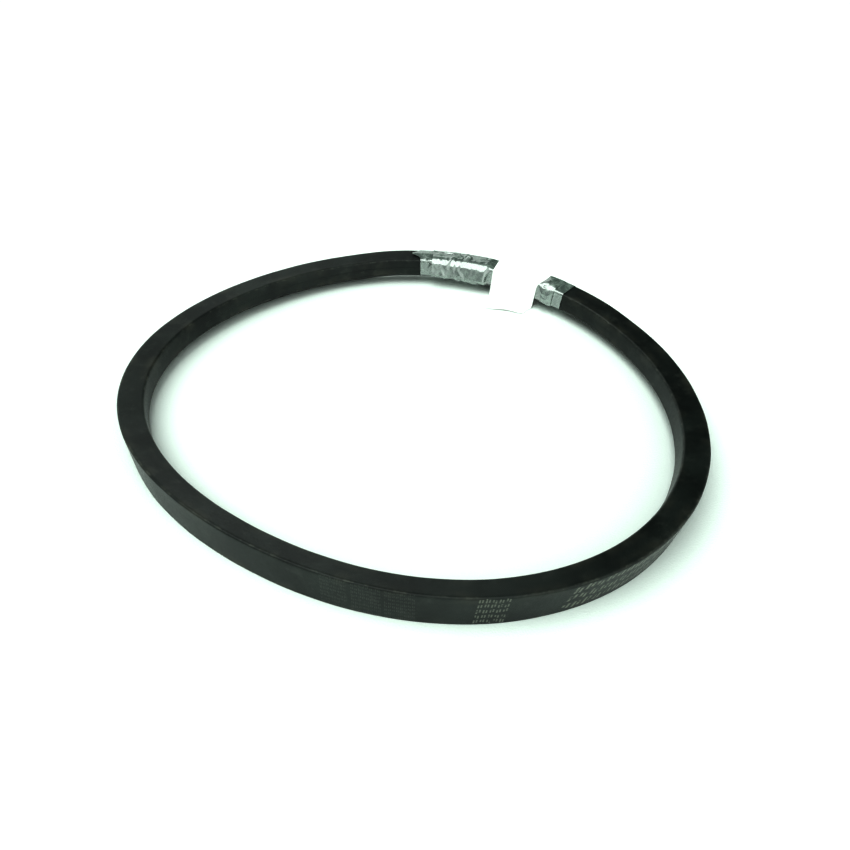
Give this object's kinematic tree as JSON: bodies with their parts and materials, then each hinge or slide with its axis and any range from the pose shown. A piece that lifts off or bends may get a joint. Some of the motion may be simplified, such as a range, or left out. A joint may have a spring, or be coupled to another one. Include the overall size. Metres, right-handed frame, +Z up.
{
  "type": "wrapped v-belt",
  "caption": "Endless fabric-wrapped V-belt lying in a loose loop, with a blank paper tag and clear film round it; it drives pulleys by its sloping flanks.",
  "frame": {"origin": "on the surface that the belt lies on, under the middle of the loop", "axes": "+Z up from that surface, along the pulleys' axes in use; +X to the right and +Y away, with the tag and film at the back of the loop, right of the middle"},
  "size_m": [0.3614, 0.3511, 0.0229],
  "materials": {
    "outer_cover_fabric": "rubber-soaked woven cotton cover, matt charcoal, dusty and rubbed grey along the edges",
    "inner_cover_fabric": "rubber-soaked woven cotton, matt",
    "tension_rubber": "smooth vulcanised rubber",
    "adhesion_rubber": "brownish bonding gum",
    "tensile_cord": "dipped and twisted polyester cord",
    "compression_rubber": "fibre-loaded vulcanised rubber",
    "clear_film": "clear, creased and glossy",
    "tag_paper": "blank white paper, matt"
  },
  "bodies": {
    "root": {"cover_outer_ply": "outer_cover_fabric", "cover_inner_ply": "inner_cover_fabric", "tension_rubber": "tension_rubber", "adhesion_rubber_upper": "adhesion_rubber", "tensile_cord": "tensile_cord", "adhesion_rubber_lower": "adhesion_rubber", "compression_rubber": "compression_rubber", "clear_film_first_turn": "clear_film", "clear_film_second_turn": "clear_film", "paper_size_tag": "tag_paper"}
  },
  "joints": []
}
